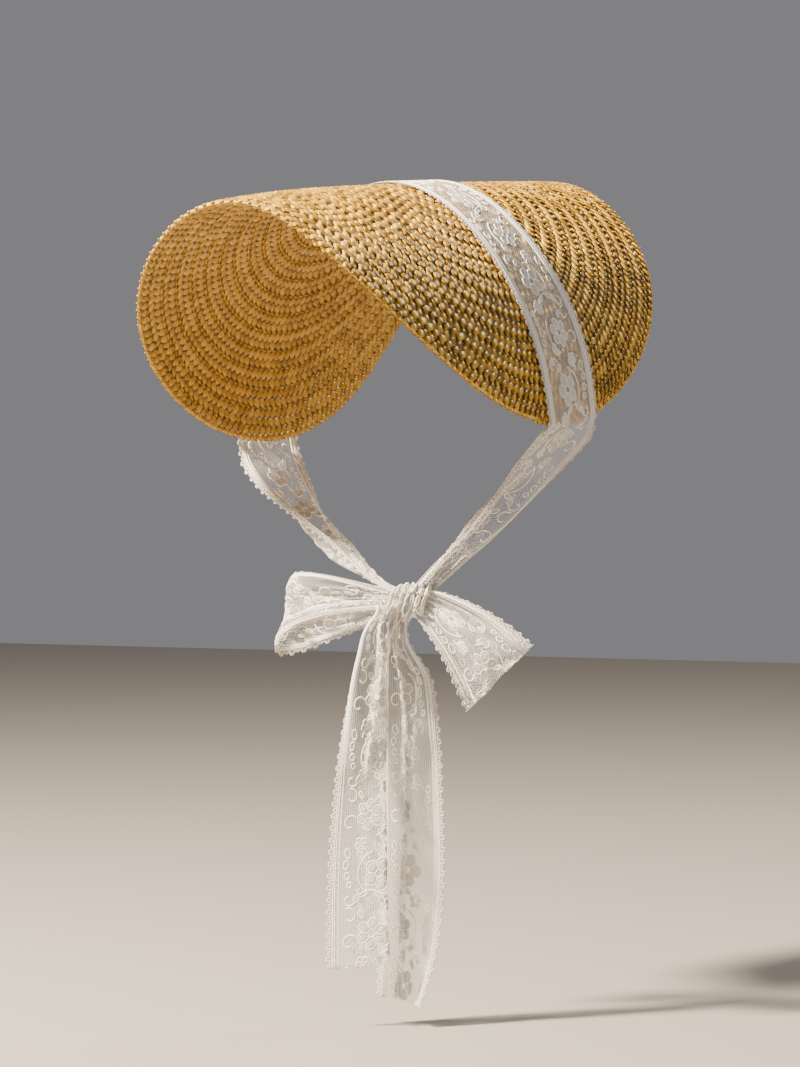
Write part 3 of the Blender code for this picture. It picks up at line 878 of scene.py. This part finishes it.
def smooth_table(levels, drops):
    """The columns of a table of levels, read at these drops through smooth curves."""
    known = np.array(levels, float)
    slopes = np.gradient(known, known[:, 0], axis=0)
    found = np.clip(np.searchsorted(known[:, 0], drops) - 1, 0, len(known) - 2)
    low, high = known[found], known[found + 1]
    span = (high[:, 0] - low[:, 0])[:, None]
    way = (drops[:, None] - low[:, :1]) / span
    return hermite(way, low, span * slopes[found], high, span * slopes[found + 1])


def bow_tail(tail):
    """A free end that hangs from the knot in upright folds."""
    top, end = tail.levels[0].drop, tail.levels[-1].drop
    drops = np.linspace(top - tail.sink, end, TAIL_STATIONS)
    drop, left, front, width = smooth_table(tail.levels, np.maximum(drops, top)).T
    drop = np.minimum(drop, drops)
    low = (drops - top) / (end - top)
    folded = TAIL_FOLDED_AT_KNOT + (1 - TAIL_FOLDED_AT_KNOT) * smooth(low / TAIL_FOLDS_OVER)
    kinks = kink_pattern(tail.folds, folded)
    waves = wave_pattern(TAIL_GATHERS, 1 - smooth(low / TAIL_WAVES_OVER), tail.phase)
    aside, out = cross_sections(width / RIBBON_WIDTH, waves, kinks, TAIL_GATHERS.give)
    down = drop[:, None] + tail.slant * smooth(low)[:, None] * np.linspace(-1, 1, ACROSS)
    return (
        KNOT
        + (left[:, None] + aside)[..., None] * turned((1, 0, 0), TAIL_TURN_DEG)
        + (front[:, None] + out)[..., None] * turned((0, -1, 0), TAIL_TURN_DEG)
        - down[..., None] * np.array((0, 0, 1))
    )


def bow_knot():
    """A band of gathered ribbon wound tight round the strands, its gathers running round the knot."""
    way = np.linspace(0, 1, KNOT_STATIONS)
    waves = wave_pattern(KNOT_GATHERS, 0.5 + 0.5 * np.sin(9 * way), 0.3)
    shares = np.full(KNOT_STATIONS, 2 * KNOT_SIZE[0] / RIBBON_WIDTH)
    aside, out = cross_sections(shares, waves, 0 * waves, KNOT_GATHERS.give)
    turn = 2 * math.pi * KNOT_WRAPS * way[:, None] + math.radians(KNOT_START_DEG)
    share = aside / KNOT_SIZE[0]
    rounded = np.sqrt(1 - KNOT_ROUNDING * share**4)
    grow = rounded * (1 + KNOT_OVERLAP * way[:, None] + KNOT_SWELL * np.sin(3 * turn + 2 * share))
    y = (KNOT_SIZE[1] * grow + out) * np.cos(turn)
    z = (KNOT_SIZE[2] * grow + out) * np.sin(turn)
    return KNOT + np.moveaxis(turned((aside + KNOT_LEAN * z, y, z), KNOT_TURN_DEG), 0, -1)


def along_lengths(grid):
    """How far along the ribbon each station is, on its middle line."""
    middle = grid[:, ACROSS // 4: -ACROSS // 4].mean(1)
    return np.concatenate([[0], np.cumsum(np.linalg.norm(np.diff(middle, axis=0), axis=-1))])


def on_ribbon(grid, lengths, spots):
    """Takes flat spots, in metres along, across and above the ribbon, to its shape."""
    normals = unit(np.cross(np.gradient(grid, axis=0), np.gradient(grid, axis=1)))
    i = np.interp(spots[:, 0], lengths, np.arange(len(grid)))
    j = np.clip(spots[:, 1] / RIBBON_WIDTH + 0.5, 0, 1) * (ACROSS - 1)
    low_i, low_j = np.minimum(i.astype(int), len(grid) - 2), np.minimum(j.astype(int), ACROSS - 2)
    t, u = (i - low_i)[:, None], (j - low_j)[:, None]

    def between(values):
        near = values[low_i, low_j] * (1 - u) + values[low_i, low_j + 1] * u
        far = values[low_i + 1, low_j] * (1 - u) + values[low_i + 1, low_j + 1] * u
        return near * (1 - t) + far * t

    return between(grid) + unit(between(normals)) * spots[:, 2:]


def lay_on(mesh, grid, lengths, start, material):
    """Takes a flat mesh to the ribbon's shape, with its flat place as UVs in metres."""
    spots = coordinates(mesh)
    corners = np.empty(len(mesh.loops), np.int32)
    mesh.loops.foreach_get("vertex_index", corners)
    layer = mesh.uv_layers.get("UVMap") or mesh.uv_layers.new(name="UVMap")
    flat = spots[corners][:, :2] + (start, 0)
    layer.data.foreach_set("uv", flat.astype(np.float32).ravel())
    place(mesh, on_ribbon(grid, lengths, spots))
    dress(mesh, material)


def net_ground(name, grid, lengths, start, material):
    """The net between the borders."""
    bm = bmesh.new()
    bmesh.ops.create_grid(bm, x_segments=len(grid) - 1, y_segments=NET_ACROSS - 1, size=0.5)
    for vertex in bm.verts:
        station = round((vertex.co.x + 0.5) * (len(grid) - 1))
        vertex.co = (lengths[station], vertex.co.y * 2 * GROUND_REACH * MM, 0)
    mesh = mesh_of(bm, name)
    lay_on(mesh, grid, lengths, start, material)
    sheet = new_object(name, mesh)
    wall = sheet.modifiers.new("wall", "SOLIDIFY")
    wall.thickness = NET_WALL
    wall.offset = 0
    return sheet


def oval_line(oval, sides, grow=1.0):
    """Points round an oval of the pattern."""
    angle = 2 * math.pi * np.arange(sides) / sides
    c, s = math.cos(math.radians(oval.turn_deg)), math.sin(math.radians(oval.turn_deg))
    x, y = oval.long / 2 * grow * np.cos(angle), oval.wide / 2 * grow * np.sin(angle)
    return np.stack([oval.along + x * c - y * s, oval.across + x * s + y * c], -1)


def petals(flower):
    """The petals of a flower, each an oval that points outwards."""
    found = []
    for n in range(flower.petals):
        turn = flower.turn_deg + 360 * n / flower.petals
        angle, reach = math.radians(turn), flower.radius * PETAL_PLACE
        found.append(Oval(
            along=flower.along + reach * math.cos(angle), across=flower.across + reach * math.sin(angle),
            long=flower.radius * PETAL_LONG, wide=flower.radius * PETAL_WIDE / flower.petals, turn_deg=turn,
        ))
    return found


def scallops():
    """The pierced ovals that scallop both edges of one repeat."""
    return [
        Oval(along=(n + 0.5) * SCALLOP_PITCH, across=side * (SCALLOP_REACH[n % 2] - SCALLOP_DEEP / 2),
             long=SCALLOP_LONG, wide=SCALLOP_DEEP, turn_deg=side * SCALLOP_TURN_DEG)
        for side in (-1, 1) for n in range(round(REPEAT / SCALLOP_PITCH))
    ]


def curl_line(curl):
    """Points along a curl, an arc that may wind inwards to a share of its radius."""
    length = abs(math.radians(curl.to_deg - curl.from_deg)) * curl.radius * (1 + curl.ends_at) / 2
    t = np.linspace(0, 1, max(int(length / CORD_STEP), 4))
    angle = np.radians(curl.from_deg + (curl.to_deg - curl.from_deg) * t)
    radius = curl.radius * curl.ends_at**t
    return np.stack([curl.along + radius * np.cos(angle), curl.across + radius * np.sin(angle)], -1)


def cords_mesh(name, lines):
    """Thick threads along lines of the flat pattern. lines are pairs of points and whether they close."""
    curve = bpy.data.curves.new(name, "CURVE")
    curve.dimensions = "3D"
    curve.bevel_depth = CORD / 2 * MM
    curve.bevel_resolution = 0
    curve.use_fill_caps = True
    for points, closed in lines:
        spline = curve.splines.new("POLY")
        spline.points.add(len(points) - 1)
        flat = np.hstack([points * MM, np.zeros((len(points), 1)), np.ones((len(points), 1))])
        spline.points.foreach_set("co", flat.ravel())
        spline.use_cyclic_u = closed
    made = new_object(name, curve)
    mesh = bpy.data.meshes.new_from_object(made.evaluated_get(bpy.context.evaluated_depsgraph_get()))
    bpy.data.objects.remove(made)
    bm = bmesh.new()
    bm.from_mesh(mesh)
    bpy.data.meshes.remove(mesh)
    bmesh.ops.remove_doubles(bm, verts=bm.verts, dist=MERGE)
    return mesh_of(bm, name, closed=True)


def thickened(bm, faces, wall):
    """Gives flat faces a wall above them, closed all round."""
    for part in bmesh.ops.extrude_face_region(bm, geom=faces, use_keep_orig=True)["geom"]:
        if isinstance(part, bmesh.types.BMVert):
            part.co.z += wall


def clothwork_mesh(name, ovals, pierced):
    """Dense plates of the pattern: an oval each, filled or round an eyelet, as thick as clothwork."""
    bm = bmesh.new()
    low = -CLOTHWORK / 2 * MM
    for eyelet, shapes in ((False, ovals), (True, pierced)):
        for oval in shapes:
            outer, inner = (
                [bm.verts.new((x * MM, y * MM, low)) for x, y in oval_line(oval, OVAL_SIDES, grow)]
                for grow in (1.0, EYELET_SHARE)
            )
            faces = [
                bm.faces.new((outer[n - 1], inner[n - 1], inner[n], outer[n])) for n in range(OVAL_SIDES)
            ]
            if not eyelet:
                faces.append(bm.faces.new(inner[::-1]))
            thickened(bm, faces, CLOTHWORK * MM)
    return mesh_of(bm, name, closed=True)


def repeats_tree():
    """Copies of one repeat of the pattern in a row along the ribbon."""
    tree, given = new_tree("lace_repeats", Object=("Repeat",), Material=("Thread",), Int=("Count",),
                           Float=("Pitch", "Start"))
    start, step = (add(tree, "ShaderNodeCombineXYZ", {0: given[name]}) for name in ("Start", "Pitch"))
    row = {"Count": given["Count"], "Start Location": start, "Offset": step}
    line = add(tree, "GeometryNodeMeshLine", row)
    piece = add(tree, "GeometryNodeObjectInfo", {"Object": given["Repeat"], "As Instance": True})
    piece = piece.outputs["Geometry"]
    placed = add(tree, "GeometryNodeInstanceOnPoints", {"Points": line, "Instance": piece})
    return finish_tree(tree, placed, given["Thread"])


def trimmed(mesh, length):
    """Cuts a flat pattern off at both ends of its piece of ribbon."""
    bm = bmesh.new()
    bm.from_mesh(mesh)
    for at, way in ((0.0, -1), (length, 1)):
        cut = bmesh.ops.bisect_plane(
            bm, geom=bm.verts[:] + bm.edges[:] + bm.faces[:], dist=1e-7,
            plane_co=(at, 0, 0), plane_no=(way, 0, 0), clear_outer=True,
        )["geom_cut"]
        rims = [part for part in cut if isinstance(part, bmesh.types.BMEdge) and part.is_boundary]
        bmesh.ops.holes_fill(bm, edges=rims, sides=0)
    bm.to_mesh(mesh)
    bm.free()


def lengthwise(length):
    """The straight cords of both borders, over a whole piece of ribbon."""
    along = np.linspace(0, length / MM, int(length / MM / BORDER_CORD_STEP))
    return [
        (np.stack([along, np.full_like(along, side * across)], -1), False)
        for side in (-1, 1) for across in BORDER_CORDS
    ]


def border_bands(name, length):
    """The dense bands inside both borders, over a whole piece of ribbon."""
    bm = bmesh.new()
    for side in (-1, 1):
        steps = int(length / MM / BAND_STEP)
        for vertex in bmesh.ops.create_grid(bm, x_segments=steps, y_segments=1, size=0.5)["verts"]:
            across = side * (BAND_STARTS + BAND_WIDTH * (vertex.co.y + 0.5))
            vertex.co = ((vertex.co.x + 0.5) * length, across * MM, -BAND_WALL / 2 * MM)
    thickened(bm, bm.faces[:], BAND_WALL * MM)
    return mesh_of(bm, name, closed=True)


def pattern():
    """One repeat of the pattern as two flat objects: its cords, and its dense clothwork."""
    blooms = [oval for flower in FLOWERS for oval in petals(flower)]
    hearts = [Oval(f.along, f.across, f.radius * HEART, f.radius * HEART, 0) for f in FLOWERS]
    lines = [(oval_line(oval, OVAL_SIDES), True) for oval in (*blooms, *hearts, *LEAVES)]
    lines += [(oval_line(oval, RING_SIDES), True) for oval in RINGS]
    lines += [(curl_line(curl), False) for curl in CURLS]
    cords = new_object("repeat_cords", cords_mesh("repeat_cords", lines))
    plates = clothwork_mesh("repeat_clothwork", (*blooms, *LEAVES), scallops())
    return cords, new_object("repeat_clothwork", plates)


def stripes(tree, uv, turn_deg, apart, distortion=0.0):
    """Stripes over the cloth, turned by an angle and so many metres apart."""
    turn = add(tree, "ShaderNodeMapping", {0: uv, "Rotation": (0, 0, math.radians(turn_deg))})
    wave = {0: turn, "Scale": WAVE_SCALE / apart, "Distortion": distortion}
    return add(tree, "ShaderNodeTexWave", wave).outputs["Fac"]


def net_material():
    """Cotton net, the ground of the lace: matt white threads with open meshes between them.

    Real meshes are about 0.8 mm wide. They are drawn about twice as coarse, so that the render shows them.
    """
    made, tree, shader = new_material("cotton_net")
    uv = add(tree, "ShaderNodeUVMap", uv_map="UVMap")
    threads = 0.0
    for turn_deg, level in NET_THREADS:
        wave = stripes(tree, uv, turn_deg, NET_MESH)
        thread = add(tree, "ShaderNodeMath", {0: wave, 1: level}, operation="GREATER_THAN")
        threads = add(tree, "ShaderNodeMath", {0: threads, 1: thread}, operation="MAXIMUM")
    flecks = add(tree, "ShaderNodeTexNoise", {0: uv, "Scale": 1 / COTTON_FLECK, "Detail": 2.0})
    base = ramp(tree, flecks, (0.3, "#F0EBE3"), (0.7, "#FFFDFA"))
    connect(tree, shader, {"Base Color": base, "Alpha": threads, "Roughness": 0.85})
    return made


def clothwork_material():
    """The dense parts of the lace: darned matt cotton, greyer than the cords, with slits between its ribs.

    Real darning has about 0.4 mm from rib to rib. It is drawn coarser, so that the render shows it.
    """
    made, tree, shader = new_material("darned_cotton_clothwork")
    uv = add(tree, "ShaderNodeUVMap", uv_map="UVMap")
    rib = stripes(tree, uv, 70, DARNING_RIB, distortion=0.6)
    # The colour darkens where the ribs' bump is low, beside the slits: painted shade
    base = ramp(tree, rib, (0.1, "#B8B3A9"), (0.7, "#E3DED6"))
    darned = add(tree, "ShaderNodeMath", {0: rib, 1: 0.22}, operation="GREATER_THAN")
    bump = add(tree, "ShaderNodeBump", {"Strength": 0.5, "Distance": 0.0002, "Height": rib})
    connect(tree, shader, {"Base Color": base, "Alpha": darned, "Roughness": 0.8, "Normal": bump})
    return made


def cord_material():
    """The raised cords of the lace: bright mercerised cotton with a slight gloss, and its twist as bump."""
    made, tree, shader = new_material("mercerised_cotton_cord")
    uv = add(tree, "ShaderNodeUVMap", uv_map="UVMap")
    twist = stripes(tree, uv, 45, CORD_TWIST)
    # The colour darkens where the twist's bump is low: painted shade in its grooves
    base = ramp(tree, twist, (0.1, "#E9E4DB"), (0.5, "#FFFDF8"))
    bump = add(tree, "ShaderNodeBump", {"Strength": 0.3, "Distance": 0.0002, "Height": twist})
    connect(tree, shader, {"Base Color": base, "Roughness": 0.6, "Normal": bump})
    return made


def ribbon():
    """All the pieces of the lace ribbon: for each its net, its cords and its clothwork."""
    net, cotton, cord = net_material(), clothwork_material(), cord_material()
    cords, clothwork = pattern()
    tree = repeats_tree()
    shapes = {"lace_strap": (lace_strap(), "stretched"), "bow_knot": (bow_knot(), "gathered")}
    shapes.update({loop.name: (bow_loop(loop), "gathered") for loop in LOOPS})
    shapes.update({tail.name: (bow_tail(tail), "hung") for tail in TAILS})
    start = 0.0
    for node, (grid, held) in shapes.items():
        name = node.split("_", 1)[1]
        lengths = along_lengths(grid)
        length = float(lengths[-1])
        sheet = net_ground(name + "_net", grid, lengths, start, net)
        first = -(start % (REPEAT * MM))
        row = {"Count": int((length - first) / REPEAT / MM) + 1, "Pitch": REPEAT * MM, "Start": first}
        trims = []
        for part, source, thread, whole in (
            ("cords", cords, cord, cords_mesh("cords", lengthwise(length))),
            ("clothwork", clothwork, cotton, border_bands("bands", length)),
        ):
            base = new_object(part, bpy.data.meshes.new(part))
            repeats = grown(base, tree, Repeat=source, Thread=thread, **row)
            trimmed(repeats, length)
            mesh = joined(f"{name}_{part}", [repeats, whole])
            lay_on(mesh, grid, lengths, start, thread)
            trims.append(new_object(mesh.name, mesh))
        start += length
        for piece in (sheet, *trims):
            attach(piece, BODY)
            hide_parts(node)
    bpy.data.objects.remove(cords)
    bpy.data.objects.remove(clothwork)


def camera():
    """The photograph's view."""
    azimuth, elevation = math.radians(CAMERA_AZIMUTH_DEG), math.radians(CAMERA_ELEVATION_DEG)
    right = Vector((math.cos(azimuth), math.sin(azimuth), 0))
    back = Vector((math.sin(azimuth), -math.cos(azimuth), math.tan(elevation))) * math.cos(elevation)
    turn = Matrix((right, back.cross(right), back)).transposed().to_4x4()
    lens = bpy.data.cameras.new("camera")
    lens.sensor_fit = "VERTICAL"
    lens.sensor_height = SENSOR_HEIGHT
    lens.lens = FOCAL_PIXELS / IMAGE_HEIGHT * SENSOR_HEIGHT
    lens.clip_end = 20
    made = new_object("camera", lens)
    spot = Matrix.Translation(CAMERA_TARGET + back * CAMERA_DISTANCE)
    made.matrix_world = spot @ turn @ Matrix.Rotation(math.radians(CAMERA_ROLL_DEG), 4, "Z")
    bpy.context.scene.camera = made


def studio():
    """A plain pale floor, a pale world and soft lights."""
    bm = bmesh.new()
    bmesh.ops.create_grid(bm, x_segments=1, y_segments=1, size=FLOOR_HALF)
    bmesh.ops.translate(bm, verts=bm.verts, vec=(0, 0, CAD_BOX[0][2] - FLOOR_BELOW))
    floor = new_object("floor", mesh_of(bm, "floor"))
    made, tree, shader = new_material("pale_floor")
    connect(tree, shader, {"Base Color": colour("#9F9993"), "Roughness": 0.9})
    floor.data.materials.append(made)
    world = bpy.data.worlds.new("pale_studio")
    bpy.context.scene.world = world
    world.use_nodes = True
    tree = world.node_tree
    connect(tree, tree.nodes["Background"], {0: colour("#C9C7CC"), 1: WORLD_STRENGTH})
    for light in LIGHTS:
        lamp = bpy.data.lights.new(light.name, "AREA")
        lamp.energy = light.watts
        lamp.shape = "DISK"
        lamp.size = light.size
        lamp.color = colour(light.code)[:3]
        aim = (LIGHTS_AIM - Vector(light.at)).to_track_quat("-Z", "Y").to_matrix().to_4x4()
        new_object(light.name, lamp).matrix_world = Matrix.Translation(light.at) @ aim


camera()
studio()
straw_plate()
ribbon()
